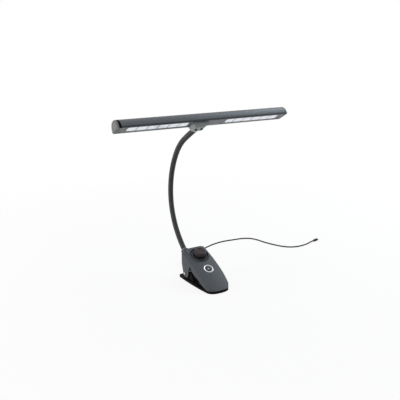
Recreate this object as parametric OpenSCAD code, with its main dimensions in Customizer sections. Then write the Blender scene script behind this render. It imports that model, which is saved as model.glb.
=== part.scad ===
// Clip-on piano lamp: a long two-window light bar on a gooseneck that rises from a spring clip.
// Millimetres. X runs along the bar, -Y is the jaws' mouth, +Z is up, the clip stands on Z = 0.

/* [Light bar] */
// Length of the bar over both end caps
bar_length = 400; // [360:5:440]
// Depth of the bar, front edge to back edge
bar_depth = 30; // [29:0.5:34]
// Height of the bar above its flat underside
bar_height = 21; // [20:0.5:26]
// Wall of the extruded housing
bar_wall = 1.6; // [1.2:0.1:2]
// Length that each end cap adds to the housing
cap_length = 6; // [4:0.5:9]
// Thickness of the plate that closes the underside
plate_thickness = 2; // [1.6:0.1:2.4]
// Length of each of the two windows
window_length = 135; // [118:1:144]
// Width of each window
window_width = 18; // [14:0.5:19]
// Distance from each window's outer end to the end of the housing
window_margin = 16; // [15:0.5:20]
// Light emitting diodes behind each window
leds_per_window = 6; // [4:1:8]

/* [Bracket] */
// Width of the bracket where it meets the bar
bracket_width = 38; // [34:1:44]
// Height of the bracket under the bar
bracket_height = 10; // [9:0.5:12]
// How far the bracket reaches to the front of the bar's middle line
bracket_front = 7; // [4:0.5:10]

/* [Gooseneck] */
// Outer diameter of the gooseneck over its ribs
neck_d = 11.6; // [11:0.1:12]
// Bore of the gooseneck
neck_bore = 7.4; // [6.8:0.1:7.6]
// Free length of the gooseneck between clip and bracket
neck_length = 337; // [300:1:380]
// Distance from one rib to the next
rib_pitch = 2.2; // [2:0.1:4]
// Depth of the groove between two ribs
rib_depth = 0.5; // [0.3:0.1:0.8]
// Lean of the gooseneck to the back, where it leaves the clip
neck_lean = 51; // [46:0.5:54]
// Distance of the gooseneck to the left of the clip's middle
neck_offset = 20; // [17:0.5:21]
// Diameter of the two-core lead inside the gooseneck
lead_d = 3; // [2:0.1:3.2]

/* [Clip] */
// Length of the clip, jaw tip to tail
clip_length = 125.5; // [122:0.5:130]
// Width of the clip where it is widest, near the knob
clip_width = 62.4; // [60:0.2:66]
// Width of the clip where its rounded nose begins
tip_width = 53.6; // [50:0.2:56]
// Height of the shell's top at its back edge
clip_height = 67; // [64:0.5:71]
// Thickness of the lower jaw's plate
jaw_plate = 5.2; // [4.5:0.1:5.5]
// Wall of the shell's sides
shell_wall = 2.5; // [2:0.1:2.8]
// Thickness of the shell's top
shell_top = 2.4; // [2:0.1:2.8]
// Diameter of the hinge pin
pin_d = 4; // [3.4:0.1:4.6]
// Height of the hinge pin above the floor
pin_z = 16; // [15.5:0.1:17]

/* [Knob and badge] */
// Diameter of the dimmer knob at its base
knob_d = 28; // [26:0.5:29]
// Diameter of the knob at its top
knob_top_d = 24.4; // [22:0.2:25]
// Height of the knob
knob_height = 15; // [12:0.5:17]
// Outer diameter of the ring round the knob
bezel_d = 44; // [43:0.5:46]
// Diameter of the badge on the shell
badge_d = 22; // [18:0.5:26]

/* [Cord] */
// Diameter of the power cord
cord_d = 3.4; // [3:0.1:3.4]
// Loops of spare cord in the coil behind the clip, over the whole turns' share
coil_turns = 10; // [6:2:10]
// Outer radius of the coil, to the cord's middle
coil_radius = 24; // [22:0.5:26]
// Free gap between neighbouring turns of the coil
coil_gap = 0.5; // [0.45:0.05:0.8]

/* [Hidden] */

// Clearances: seat is between fixed pieces, run is a turning pin's radial play, gap is between
// pieces that pass each other.
seat = 0.1;
run = 0.05;
gap = 0.3;
big = 400;

// Colours
anthracite = "#4a4e54";
cap_grey = "#7d8387";
bracket_grey = "#9aa09f";
shell_grey = "#3c4046";
black_plastic = "#1b1a1c";
steel = "#b9bcc0";
board_green = "#2f6b45";
lamp_white = "#fdfdf6";

// ---------------------------------------------------------------- helpers

// Profile drawn in (y, z), extruded along X about the middle.
module across(width) {
  rotate([90, 0, 90])
    translate([0, 0, -width / 2])
      linear_extrude(width)
        children();
}

// Outline with round corners: each point is [x, y, radius].
function corner_arc(a, b, c, r, steps) =
  let (
    u = (a - b) / norm(a - b),
    v = (c - b) / norm(c - b),
    half = acos(max(-1, min(1, u * v))) / 2,
    m = (u + v) / norm(u + v),
    centre = b + m * r / sin(half),
    p = b + u * r / tan(half) - centre,
    q = b + v * r / tan(half) - centre,
    turn = 180 - 2 * half,
    side = p[0] * q[1] - p[1] * q[0] > 0 ? 1 : -1
  )
  [for (i = [0:steps])
    let (w = side * turn * i / steps)
    centre + [p[0] * cos(w) - p[1] * sin(w), p[0] * sin(w) + p[1] * cos(w)]];

function rounded(points, steps = 5) =
  let (n = len(points))
  [for (i = [0:n - 1])
    let (
      a = points[(i + n - 1) % n],
      b = points[i],
      c = points[(i + 1) % n]
    )
    each b[2] > 0
      ? corner_arc([a[0], a[1]], [b[0], b[1]], [c[0], c[1]], b[2], steps)
      : [[b[0], b[1]]]];

// Skin through a list of rings with as many points each, with flat ends.
module skin(rings) {
  n = len(rings[0]);
  m = len(rings);
  side = [for (i = [0:m - 2], j = [0:n - 1])
    let (a = i * n + j, b = i * n + (j + 1) % n)
    each [[a, b + n, b], [a, a + n, b + n]]];
  ends = [[for (j = [0:n - 1]) j], [for (j = [0:n - 1]) m * n - 1 - j]];
  polyhedron([for (r = rings) each r], concat(side, ends));
}

// Skin whose last ring joins its first: a tube with its bore.
module closed_skin(rings) {
  n = len(rings[0]);
  m = len(rings);
  side = [for (i = [0:m - 1], j = [0:n - 1])
    let (
      k = (i + 1) % m,
      a = i * n + j,
      b = i * n + (j + 1) % n,
      c = k * n + (j + 1) % n,
      d = k * n + j
    )
    each [[a, c, b], [a, d, c]]];
  polyhedron([for (r = rings) each r], side);
}

// ---------------------------------------------------------------- gooseneck route

// The neck stands in one upright plane. It is a chain of equal arcs; each turns further to the
// front by its own angle.
neck_turns = [15, 19, 19, 16.5, 15.5, 23, 4];
segments = len(neck_turns);
segment_length = neck_length / segments;
neck_root = [51, 62.4];
neck_seat = 6;
base_bore_r = neck_d / 2 + 0.9;
collar_r = neck_d / 2 + 1.4;
collar_t = 1.2;
neck_x = -neck_offset;
neck_sides = 8;

function lean_at(k) = k == 0 ? neck_lean : lean_at(k - 1) - neck_turns[k - 1];
function arc_radius(k) = segment_length / (neck_turns[k] * PI / 180);
function arc_centre(k) =
  let (p = joint_at(k), a = lean_at(k))
  p + arc_radius(k) * [-cos(a), sin(a)];
function joint_at(k) =
  k == 0
    ? neck_root
    : let (c = arc_centre(k - 1), a = lean_at(k))
      c + arc_radius(k - 1) * [cos(a), -sin(a)];
function lean_along(k, s) = lean_at(k) - neck_turns[k] * s / segment_length;
function point_along(k, s) =
  let (a = lean_along(k, s))
  arc_centre(k) + arc_radius(k) * [cos(a), -sin(a)];

// Children drawn along +Z are placed with Z along the neck, s millimetres into segment k.
module on_neck(k, s) {
  p = point_along(k, s);
  translate([neck_x, p[0], p[1]])
    rotate([-lean_along(k, s), 0, 0])
      children();
}

// One ring of the neck, square to its route.
function neck_ring(k, s, radius) =
  let (p = point_along(k, s), a = lean_along(k, s))
  [for (j = [0:neck_sides - 1])
    let (w = 360 * j / neck_sides, out = radius * sin(w))
    [neck_x + radius * cos(w), p[0] + out * cos(a), p[1] - out * sin(a)]];

// ---------------------------------------------------------------- frames of the bar and clip

// The bar's own frame: X along it, Y to its back, Z up from its flat underside.
bar_tilt = 90 + lean_at(segments);
neck_end = joint_at(segments);
bracket_back = bar_depth / 2 - 0.2;
collar_from = bar_depth / 2 + gap;
neck_end_y = collar_from + 3.2;
neck_drop = bracket_height / 2;
bar_centre = neck_end
  + neck_end_y * [-cos(bar_tilt), sin(bar_tilt)]
  + neck_drop * [sin(bar_tilt), cos(bar_tilt)];

module at_bar() {
  translate([0, bar_centre[0], bar_centre[1]])
    rotate([-bar_tilt, 0, 0])
      children();
}

// The shell's top is an arc in side view, from its back edge down to the jaw tip.
tip_y = -65.5;
tail_y = tip_y + clip_length;
back_y = 56;
tip_top_z = 6.8;
arc_turn = 19.4;
arc_chord = [back_y - tip_y, clip_height - tip_top_z];
top_radius = norm(arc_chord) / 2 / sin(arc_turn / 2);
top_axis = ([back_y, clip_height] + [tip_y, tip_top_z]) / 2
  + top_radius * cos(arc_turn / 2) * [arc_chord[1], -arc_chord[0]] / norm(arc_chord);

function top_lean(y) = asin((top_axis[0] - y) / top_radius);
function top_z(y) = top_axis[1] + top_radius * cos(top_lean(y));

// Children drawn along +Z are placed square on the shell's top at y.
module on_top(y, x = 0) {
  translate([x, y, top_z(y)])
    rotate([top_lean(y), 0, 0])
      children();
}

knob_x = 1.5;
knob_y = 24.7;
badge_y = -15.5;

// ---------------------------------------------------------------- light bar

lip_height = 3;
housing_length = bar_length - 2 * cap_length;
web_z = 8;
web_thickness = 1.6;
board_thickness = 1.6;
chip_height = 1;
window_middle = housing_length / 2 - window_margin - window_length / 2;
plate_width = bar_depth - 2 * bar_wall - 2 * seat;
screw_y = window_width / 2 - 1;
screw_x = [
  -window_middle - window_length / 2 - 9.5,
  -window_middle + window_length / 2 + 5,
  window_middle - window_length / 2 - 5,
  window_middle + window_length / 2 + 9.5
];
post_r = 2.9;

// D-shaped outline of the bar, drawn in (y, z), less a wall.
function bar_outline(wall, floor_z = 0, steps = 28) =
  let (
    half = bar_depth / 2 - wall,
    rise = bar_height - wall - lip_height
  )
  concat(
    [[half, floor_z]],
    [for (i = [0:steps])
      let (w = 180 * i / steps)
      [half * cos(w), lip_height + rise * sin(w)]],
    [[-half, floor_z]]
  );

module bar_housing() {
  color(anthracite)
    at_bar()
      difference() {
        union() {
          across(housing_length)
            difference() {
              polygon(bar_outline(0));
              polygon(bar_outline(bar_wall, -1));
            }
          across(housing_length)
            intersection() {
              polygon(bar_outline(bar_wall / 2));
              translate([-bar_depth, web_z])
                square([2 * bar_depth, web_thickness]);
            }
        }
        for (x = screw_x)
          translate([x, screw_y, 0])
            cylinder(r = 1.25, h = web_z + web_thickness + 1, $fn = 24);
      }
}

// The cap's convex end is the D outline drawn in, station by station, along a quarter circle. Next
// to the housing it has a narrow shadow groove.
groove_width = 0.8;
groove_depth = 0.7;
function cap_ring(x, shrink) =
  [for (p = bar_outline(0, 0, 20))
    let (f = 1 - shrink / (bar_height / 2))
    [x, p[0] * f, bar_height * 0.42 * (1 - f) + p[1] * f]];

module end_cap() {
  depth = cap_length;
  round_in = 3.2;
  plug_z = web_z + web_thickness + seat;
  union() {
    skin(concat(
      [cap_ring(0, groove_depth), cap_ring(groove_width, groove_depth)],
      [for (i = [0:6])
        let (w = 90 * i / 6)
        i == 0
          ? cap_ring(groove_width, 0)
          : cap_ring(depth * (0.35 + 0.65 * sin(w)), round_in * (1 - cos(w)))]
    ));
    intersection() {
      translate([-4, 0, 0])
        across(8)
          polygon(bar_outline(bar_wall + seat));
      translate([-4, -bar_depth / 2, plug_z])
        cube([4.5, bar_depth, bar_height]);
    }
  }
}

module end_cap_right() {
  color(anthracite)
    at_bar()
      translate([housing_length / 2, 0, 0])
        end_cap();
}

module end_cap_left() {
  color(cap_grey)
    at_bar()
      mirror([1, 0, 0])
        translate([housing_length / 2, 0, 0])
          end_cap();
}

module window_outline(length, width) {
  slant = 3;
  half = length / 2;
  polygon(rounded([
    [-half, -width / 2, 5],
    [half - slant, -width / 2, 5],
    [half, width / 2, 5],
    [-half + slant, width / 2, 5]
  ], 4));
}

window_shift = -2.5;
window_rim = 1.5;

module underside_plate() {
  color(anthracite)
    at_bar()
      difference() {
        union() {
          translate([-housing_length / 2 + seat, -plate_width / 2, 0])
            cube([housing_length - 2 * seat, plate_width, plate_thickness]);
          for (x = screw_x)
            translate([x, screw_y, 0])
              cylinder(r = post_r, h = web_z, $fn = 32);
        }
        for (x = [-window_middle, window_middle])
          translate([x, window_shift, -1])
            linear_extrude(plate_thickness + 2)
              window_outline(window_length, window_width);
        for (x = screw_x)
          translate([x, screw_y, -1]) {
            cylinder(r = 1.3, h = web_z + 2, $fn = 24);
            cylinder(r = 2.7, h = 2.4, $fn = 32);
          }
      }
}

module plate_screws() {
  color(black_plastic)
    at_bar()
      for (x = screw_x)
        translate([x, screw_y, 0]) {
          translate([0, 0, 0.1])
            cylinder(r = 2.6, h = 1.3, $fn = 32);
          cylinder(r = 1.2, h = web_z + web_thickness, $fn = 24);
        }
}

board_length = window_length + 4;
board_width = 14;

module led_board(side) {
  color(board_green)
    at_bar()
      translate([side * window_middle - board_length / 2, window_shift - board_width / 2,
                 web_z - board_thickness])
        cube([board_length, board_width, board_thickness]);
}

led_pitch = window_length / leds_per_window;

module led_chips(side) {
  chip = 5;
  color(lamp_white)
    at_bar()
      for (i = [0:leds_per_window - 1])
        translate([side * window_middle + (i - (leds_per_window - 1) / 2) * led_pitch,
                   window_shift, web_z - board_thickness - chip_height]) {
          translate([-chip / 2, -chip / 2, 0])
            cube([chip, chip, chip_height]);
        }
}

// Tray of white cells, one for each chip, each flaring down to the window.
module reflector(side) {
  foot = plate_thickness;
  tall = web_z - board_thickness - foot - seat;
  length = window_length + 2 * window_rim;
  width = min(window_width + 2 * window_rim, plate_width - 2 * (abs(window_shift) + 1));
  wall = 0.9;
  mouth = [led_pitch - 2 * wall, window_width - 2 * wall];
  throat = 7;
  color(lamp_white)
    at_bar()
      translate([side * window_middle, window_shift, foot])
        difference() {
          translate([-length / 2, -width / 2, 0])
            cube([length, width, tall]);
          for (i = [0:leds_per_window - 1])
            translate([(i - (leds_per_window - 1) / 2) * led_pitch, 0, 0])
              skin([for (e = [[-0.01, mouth], [tall + 0.01, [throat, throat]]])
                [for (c = [[-1, -1], [1, -1], [1, 1], [-1, 1]])
                  [c[0] * e[1][0] / 2, c[1] * e[1][1] / 2, e[0]]]]);
        }
}

module window(side) {
  color([0.95, 0.97, 1, 0.8])
    at_bar()
      translate([side * window_middle, window_shift, 0.2])
        linear_extrude(plate_thickness - 0.2 - seat)
          offset(delta = -seat)
            window_outline(window_length, window_width);
}

module led_board_left() led_board(-1);
module led_board_right() led_board(1);
module led_chips_left() led_chips(-1);
module led_chips_right() led_chips(1);
module reflector_left() reflector(-1);
module reflector_right() reflector(1);
module window_left() window(-1);
module window_right() window(1);

// Constant-current driver on top of the housing's web.
module driver_board() {
  long = 56;
  wide = 16;
  color(board_green)
    at_bar()
      translate([0, 0, web_z + web_thickness]) {
        translate([-long / 2, -wide / 2, 0])
          cube([long, wide, board_thickness]);
        translate([-long / 2 + 6, -5, board_thickness])
          cube([12, 10, 4.2]);
        translate([6, 0, board_thickness])
          cylinder(d = 8, h = 4.5, $fn = 32);
        translate([16, -3, board_thickness])
          cube([7, 6, 2]);
      }
}

// ---------------------------------------------------------------- bracket

bracket_x = neck_x;
bracket_screw_x = 6.6;
bracket_screw_y = 3;
stud_r = 3;
stud_length = 12;

// Block under the bar, with one short and one long slope and a bore in its back for the neck's
// stud.
module neck_bracket() {
  left = -0.39 * bracket_width;
  right = bracket_width + left;
  color(bracket_grey)
    at_bar()
      translate([bracket_x, 0, 0])
        difference() {
          intersection() {
            translate([0, bracket_back, 0])
              rotate([90, 0, 0])
                linear_extrude(bracket_front + bracket_back)
                  polygon(rounded([
                    [left, 0, 0],
                    [left, -1.5, 0],
                    [left + 5, -bracket_height, 3],
                    [right - 12.6, -bracket_height, 4],
                    [right, -1.5, 0],
                    [right, 0, 0]
                  ]));
            across(2 * bracket_width)
              polygon(rounded([
                [-bracket_front, 0, 0],
                [-bracket_front + 1.5, -bracket_height, 2],
                [bracket_back, -bracket_height, 1],
                [bracket_back, 0, 0]
              ]));
          }
          translate([0, bracket_back + 1, -neck_drop])
            rotate([90, 0, 0])
              cylinder(r = stud_r + run, h = stud_length + 1.5, $fn = 48);
          for (x = [-bracket_screw_x, bracket_screw_x])
            translate([x, bracket_screw_y, -bracket_height - 1])
              cylinder(r = 1.55, h = bracket_height + 2, $fn = 24);
        }
}

module bracket_screws() {
  color(steel)
    at_bar()
      for (x = [-bracket_screw_x, bracket_screw_x])
        translate([bracket_x + x, bracket_screw_y, -bracket_height]) {
          translate([0, 0, -1.7])
            difference() {
              cylinder(r = 2.8, h = 1.7, $fn = 32);
              translate([0, 0, -0.1])
                cylinder(r = 1.3, h = 1, $fn = 6);
            }
          cylinder(r = 1.5, h = bracket_height, $fn = 24);
        }
}

// Stud of the neck's upper end: it sits in the bracket, has a collar behind the bar, and its
// spigot fills the neck's bore. The lead runs through it.
module neck_top_ferrule() {
  back = bracket_back - neck_end_y;
  front = collar_from - neck_end_y;
  hole = lead_d / 2 + 0.3;
  spigot_r = neck_bore / 2 * cos(180 / neck_sides) - seat;
  color(steel)
    at_bar()
      translate([neck_x, neck_end_y, -neck_drop])
        rotate([-90, 0, 0])
          rotate_extrude($fn = 64)
            polygon([
              [hole, back - stud_length],
              [stud_r, back - stud_length],
              [stud_r, back + seat],
              [neck_d / 2 - 1.4, back + seat],
              [neck_d / 2 - 1.4, front],
              [neck_d / 2 - 0.3, front],
              [neck_d / 2, front + 0.3],
              [neck_d / 2, -0.3],
              [neck_d / 2 - 0.3, 0],
              [spigot_r, 0],
              [spigot_r, neck_seat - 0.5],
              [spigot_r - 0.5, neck_seat],
              [hole, neck_seat]
            ]);
}

// ---------------------------------------------------------------- gooseneck

// Neighbouring segments meet in a ball and cup, so each can bend against the next.
ball_r = 4.5 * neck_d / 10;
cup_rim = 0.18 * neck_d;
cup_floor = 0.42 * neck_d;

// Ribbed tube with its bore. The rings run up the outside and back down the bore.
module neck_tube(k, first_s, last_s, cupped) {
  ribs = round((last_s - first_s) / rib_pitch);
  crest = neck_d / 2;
  bore_from = cupped ? cup_floor : first_s;
  bore_steps = 4;
  outer = [for (i = [0:2 * ribs])
    neck_ring(k, first_s + (last_s - first_s) * i / (2 * ribs),
              crest - (i % 2) * rib_depth)];
  inner = [for (i = [0:bore_steps])
    neck_ring(k, last_s + (bore_from - last_s) * i / bore_steps, neck_bore / 2)];
  closed_skin(concat(outer, inner));
}

module neck_segment(n) {
  k = n - 1;
  is_first = n == 1;
  is_last = n == segments;
  from_s = is_first ? boss_to - neck_seat : cup_rim;
  color(anthracite)
    difference() {
      union() {
        neck_tube(k, from_s, segment_length, !is_first);
        if (!is_last)
          on_neck(k, segment_length)
            sphere(r = ball_r, $fn = 32);
      }
      if (!is_last)
        on_neck(k, segment_length)
          translate([0, 0, -2 * ball_r])
            cylinder(r = lead_d / 2 + 0.3, h = 4 * ball_r, $fn = 24);
    }
}

// Stretch of the lead inside one segment, following the same arc.
module neck_lead(n) {
  k = n - 1;
  from_s = n == 1 ? -12 : ball_r + 0.8;
  to_s = segment_length + (n == segments ? 10 : ball_r - 0.4);
  c = arc_centre(k);
  color(black_plastic)
    translate([neck_x, c[0], c[1]])
      rotate([90, 0, 90])
        rotate([0, 0, -lean_along(k, from_s)])
          rotate_extrude(angle = lean_along(k, from_s) - lean_along(k, to_s), $fn = 360)
            translate([arc_radius(k), 0])
              circle(d = lead_d, $fn = 24);
}

// ---------------------------------------------------------------- clip, upper jaw

pin_y = 34;
rear_low = [40, pin_z];
cheek_floor = 9.6;
notch_top = [11.2, 40.5];
skirt_tip_z = jaw_plate + gap;
side_clear = 0.3;
inner_half = clip_width / 2 - shell_wall;

// Side view of the shell: arc top, sloping back, two cheeks down to the pin, and the long
// opening between the jaws.
module shell_side() {
  fall = (back_y - tip_y) * tan(top_lean(back_y));
  polygon(rounded([
    [back_y, clip_height, 3],
    [rear_low[0], rear_low[1], 5],
    [rear_low[0] - 3.5, cheek_floor, 3],
    [23, cheek_floor, 3],
    [18.6, 18, 8],
    [16.4, 30, 10],
    [notch_top[0], notch_top[1], 1.8],
    [5, 30.5, 3],
    [-19.4, 20, 20],
    [-38, 9.3, 10],
    [-50, skirt_tip_z, 4],
    [tip_y, skirt_tip_z, 0.4],
    [tip_y, clip_height - fall, 0]
  ], 6));
}

// Half the clip's width at y. The sides are gently convex and widest beside the knob.
belly_y = 25;
nose_y = -49;
function half_width(y) =
  let (f = (y - belly_y) / (nose_y - belly_y))
  (clip_width - (clip_width - tip_width) * f * f) / 2;

// Half the width at y with the full, round nose.
function plan_half(y) =
  let (u = max(0, min(1, (nose_y - y) / (nose_y - tip_y))))
  half_width(y) * pow(max(0, 1 - pow(u, 2.5)), 1 / 2.5);

side_steps = 10;
nose_steps = 12;

// Outline from a list of points along the back, round the right side and the nose to the left.
function clip_outline(back_points) =
  let (
    rear = back_points[len(back_points) - 1][1],
    side = concat(
      [for (i = [1:side_steps - 1])
        let (y = rear + (nose_y - rear) * i / side_steps)
        [plan_half(y), y]],
      [for (i = [0:nose_steps])
        let (y = nose_y + (tip_y - nose_y) * sin(90 * i / nose_steps))
        [plan_half(y), y]]
    ),
    n = len(side)
  )
  concat(
    rounded(back_points),
    side,
    [for (i = [1:n - 1])
      let (p = side[n - 1 - i])
      [-p[0], p[1]]]
  );

// Plan view of the shell: its back bulges slightly and has round corners.
module shell_plan(inset) {
  corner_y = back_y - 5;
  rear = corner_y - 9;
  offset(delta = -inset)
    polygon(clip_outline([
      [-half_width(rear), rear, 0],
      [-half_width(corner_y), corner_y, 8],
      [-8, back_y, 40],
      [8, back_y, 40],
      [half_width(corner_y), corner_y, 8],
      [half_width(rear), rear, 0]
    ]));
}

// Plan view of the lower jaw, which has the shell's nose and reaches further back.
module jaw_plan() {
  rear = tail_y - 10;
  polygon(clip_outline([
    [-half_width(rear), rear, 0],
    [-half_width(tail_y), tail_y, 3.5],
    [half_width(tail_y), tail_y, 3.5],
    [half_width(rear), rear, 0]
  ]));
}

// The top's cross-section, slightly crowned with round edges, turned about the arc's axis.
module crowned_top(inset, half) {
  edge_r = 6 - inset;
  crown_r = 190;
  r = top_radius - inset;
  low = top_radius - 90;
  translate([0, top_axis[0], top_axis[1]])
    rotate([0, -90, 0])
      rotate([0, 0, -40])
        rotate_extrude(angle = 80, $fn = 720)
          intersection() {
            translate([r - crown_r, 0])
              circle(r = crown_r, $fn = 360);
            union() {
              translate([low, -half])
                square([r - low - edge_r - 1.2, 2 * half]);
              translate([low, -half + edge_r])
                square([r - low + 1, 2 * half - 2 * edge_r]);
              for (s = [-1, 1])
                translate([r - edge_r - 1.2, s * (half - edge_r)])
                  circle(r = edge_r, $fn = 48);
            }
          }
}

boss_r = base_bore_r + 1.4;
boss_from = -19;
sleeve = 12;
boss_to = 2;
hub_d = 8;

module upper_jaw_shell() {
  base_top = 60;
  color(shell_grey)
    difference() {
      union() {
        difference() {
          intersection() {
            across(clip_width)
              shell_side();
            translate([0, 0, -1])
              linear_extrude(100)
                shell_plan(0);
            crowned_top(0, clip_width / 2);
          }
          intersection() {
            across(clip_width)
              polygon([
                [tip_y + 5, -1],
                [back_y + 10, -1],
                [back_y + 10, wall_foot_z],
                [wall_foot_y, wall_foot_z],
                [back_y - shell_wall, clip_height - 2],
                [back_y - shell_wall, clip_height + 20],
                [tip_y + 5, clip_height + 20]
              ]);
            translate([0, 0, -2])
              linear_extrude(110)
                shell_plan(shell_wall);
            crowned_top(shell_top, inner_half);
          }
        }
        // Boss that the gooseneck's ferrule sits in.
        on_neck(0, boss_to)
          translate([0, 0, boss_from - boss_to])
            cylinder(r1 = boss_r + 1, r2 = boss_r, h = boss_to - boss_from, $fn = 64);
        screw_posts();
      }
      // Bore for the ferrule, and the shell cut back round its collar.
      on_neck(0, boss_to) {
        translate([0, 0, -sleeve - seat])
          cylinder(r = base_bore_r, h = 30, $fn = 64);
        translate([0, 0, boss_from - boss_to - 10])
          cylinder(r = lead_d / 2 + 0.8, h = 30, $fn = 32);
        cylinder(r = boss_r, h = 20, $fn = 64);
      }
      // Seat and hole for the knob's bezel.
      on_top(knob_y, knob_x) {
        translate([0, 0, -bezel_sink])
          cylinder(r = bezel_d / 2 + seat, h = 20, $fn = 96);
        translate([0, 0, -8])
          cylinder(r = bezel_spigot_r + seat, h = 10, $fn = 96);
      }
      // Seat for the badge.
      on_top(badge_y)
        translate([0, 0, -badge_sink])
          cylinder(r = badge_d / 2 + seat, h = 10, $fn = 96);
      // Hinge pin.
      translate([-clip_width, pin_y, pin_z])
        rotate([0, 90, 0])
          cylinder(r = pin_d / 2 + run, h = 2 * clip_width, $fn = 48);
      // Cord outlet in the back wall.
      translate([outlet_x, back_y - 20, outlet_z])
        rotate([-90, 0, 0])
          cylinder(r = outlet_r + seat, h = 40, $fn = 48);
      // Pilot holes in the screw posts.
      for (x = base_screw_x)
        on_base(base_screw_y)
          translate([x, 0, -2])
            cylinder(r = 1.25, h = 10, $fn = 24);
    }
}

// ---------------------------------------------------------------- upper jaw base

wall_foot_z = 25;
wall_foot_y = 40;
base_t = 2;
base_front_y = -50;
throat_a = [-37, jaw_plate + 5.8];
throat_b = [5, 31.5];
base_slope = atan2(throat_b[1] - throat_a[1], throat_b[0] - throat_a[0]);
base_rise = base_t * [-sin(base_slope), cos(base_slope)];
base_lap = 0.5 * [cos(base_slope), sin(base_slope)];
base_screw_x = [-20.5, 20.5];
base_screw_y = -12;
lip_y = -56;

// Children drawn along +Z are placed square on the base's sloping underside at y.
module on_base(y) {
  translate([0, y, throat_a[1] + (y - throat_a[0]) * tan(base_slope)])
    rotate([base_slope, 0, 0])
      children();
}

// Posts from the shell's top down to the base, clipped to the shell's inside.
module screw_posts() {
  intersection() {
    for (x = base_screw_x)
      on_base(base_screw_y)
        translate([x, 0, base_t + seat])
          cylinder(r = 3, h = 40, $fn = 32);
    crowned_top(shell_top / 2, inner_half + 1);
  }
}

module upper_jaw_base() {
  ear_clear = ear_in - gap;
  color(black_plastic)
    difference() {
      union() {
        // Sloping plate over the jaw's throat.
        intersection() {
          across(clip_width)
            polygon([
              [base_front_y, throat_a[1]],
              throat_a,
              throat_b,
              throat_b + base_rise,
              throat_a + base_rise,
              [base_front_y + 1, throat_a[1] + 1.6],
              [base_front_y, throat_a[1] + 1]
            ]);
          translate([0, 0, -1])
            linear_extrude(100)
              shell_plan(shell_wall + seat);
        }
        // Narrower trough behind it, between the lower jaw's ears.
        across(2 * ear_clear)
          polygon([
            throat_b - base_lap,
            throat_b,
            [11, wall_foot_z + 2],
            [15, wall_foot_z],
            [wall_foot_y - seat, wall_foot_z],
            [wall_foot_y - seat, wall_foot_z + base_t],
            [16, wall_foot_z + base_t],
            [13, wall_foot_z + 3.6],
            throat_b + base_rise,
            throat_b + base_rise - base_lap
          ]);
        // Two pegs that carry the dimmer board.
        for (x = [-13, 13])
          translate([x, board_y + 10, wall_foot_z + 1])
            cylinder(r = 2, h = board_z - wall_foot_z - 1, $fn = 32);
      }
      for (x = base_screw_x)
        on_base(base_screw_y)
          translate([x, 0, -1])
            cylinder(r = 1.55, h = 6, $fn = 24);
    }
}

module base_screws() {
  color(steel)
    for (x = base_screw_x)
      on_base(base_screw_y)
        translate([x, 0, 0]) {
          translate([0, 0, -1.6])
            difference() {
              cylinder(r = 2.6, h = 1.6, $fn = 32);
              translate([-1.8, -0.3, -0.1])
                cube([3.6, 0.6, 0.9]);
            }
          cylinder(r = 1.2, h = 7.5, $fn = 24);
        }
}

board_y = 16.5;
board_z = 31;

module dimmer_board() {
  color(board_green) {
    translate([-17, board_y, board_z])
      cube([34, 24, board_thickness]);
    translate([-12, board_y + 3, board_z + board_thickness])
      cylinder(d = 6, h = 5, $fn = 32);
    translate([2, board_y + 3, board_z + board_thickness])
      cube([9, 7, 2.4]);
  }
}

pad_width = tip_width - 11.6;
pad_base = 1.2;
tooth_height = 1.6;
upper_pad_z = jaw_plate + pad_base + tooth_height + gap;

// Rubber lip under the tip, stuck to the base's front strip.
module upper_pad() {
  color(black_plastic)
    across(pad_width)
      polygon([
        [lip_y, upper_pad_z],
        [throat_a[0] - 0.5, upper_pad_z],
        [throat_a[0] - 0.5, throat_a[1]],
        [base_front_y - 0.4, throat_a[1]],
        [lip_y, upper_pad_z + 0.8]
      ]);
}

// ---------------------------------------------------------------- knob, bezel and badge

bezel_sink = 1.6;
bezel_spigot_r = bezel_d / 2 - 1.2;
well_r = knob_d / 2 + 1.2;
well_floor = -2.6;
bush_r = 3.5;
shaft_r = 3;

// Ring round the knob: a flange on the shell, a groove, a ridge and the knob's well.
module knob_bezel() {
  r = bezel_d / 2;
  groove_out = r - 2.2;
  groove_in = groove_out - 2.2;
  groove_floor = well_floor + 0.3;
  color(shell_grey)
    on_top(knob_y, knob_x)
      rotate_extrude($fn = 96)
        polygon([
          [bush_r + seat, well_floor - 1.6],
          [bezel_spigot_r, well_floor - 1.6],
          [bezel_spigot_r, -bezel_sink],
          [r, -bezel_sink],
          [r, 0.4],
          [r - 0.5, 0.9],
          [groove_out + 0.5, 0.9],
          [groove_out, 0.4],
          [groove_out, groove_floor],
          [groove_in, groove_floor],
          [groove_in, 0.3],
          [groove_in - 0.5, 0.8],
          [well_r + 0.5, 0.8],
          [well_r, 0.3],
          [well_r, well_floor],
          [bush_r + seat, well_floor]
        ]);
}

module knob() {
  foot = well_floor + gap + 0.2;
  base_r = knob_d / 2;
  top_r = knob_top_d / 2;
  top = foot + knob_height;
  hollow_r = base_r - 3;
  color("#2a2224")
    on_top(knob_y, knob_x)
      difference() {
        rotate_extrude($fn = 96)
          polygon([
            [0, foot + 4.4],
            [hollow_r - 1, foot + 4.4],
            [hollow_r, foot],
            [base_r, foot],
            [base_r, foot + 1.6],
            [top_r + 0.6, top - 2.6],
            [top_r - 0.2, top - 1],
            [top_r - 1.6, top - 0.2],
            [top_r - 2.8, top],
            [top_r - 4.4, top - 0.5],
            [0, top - 1.1]
          ]);
        translate([0, 0, foot])
          cylinder(r = shaft_r + run, h = 10, $fn = 48);
        translate([-0.5, 4.5, top - 1.3])
          cube([1, 5.5, 2]);
      }
}

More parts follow.
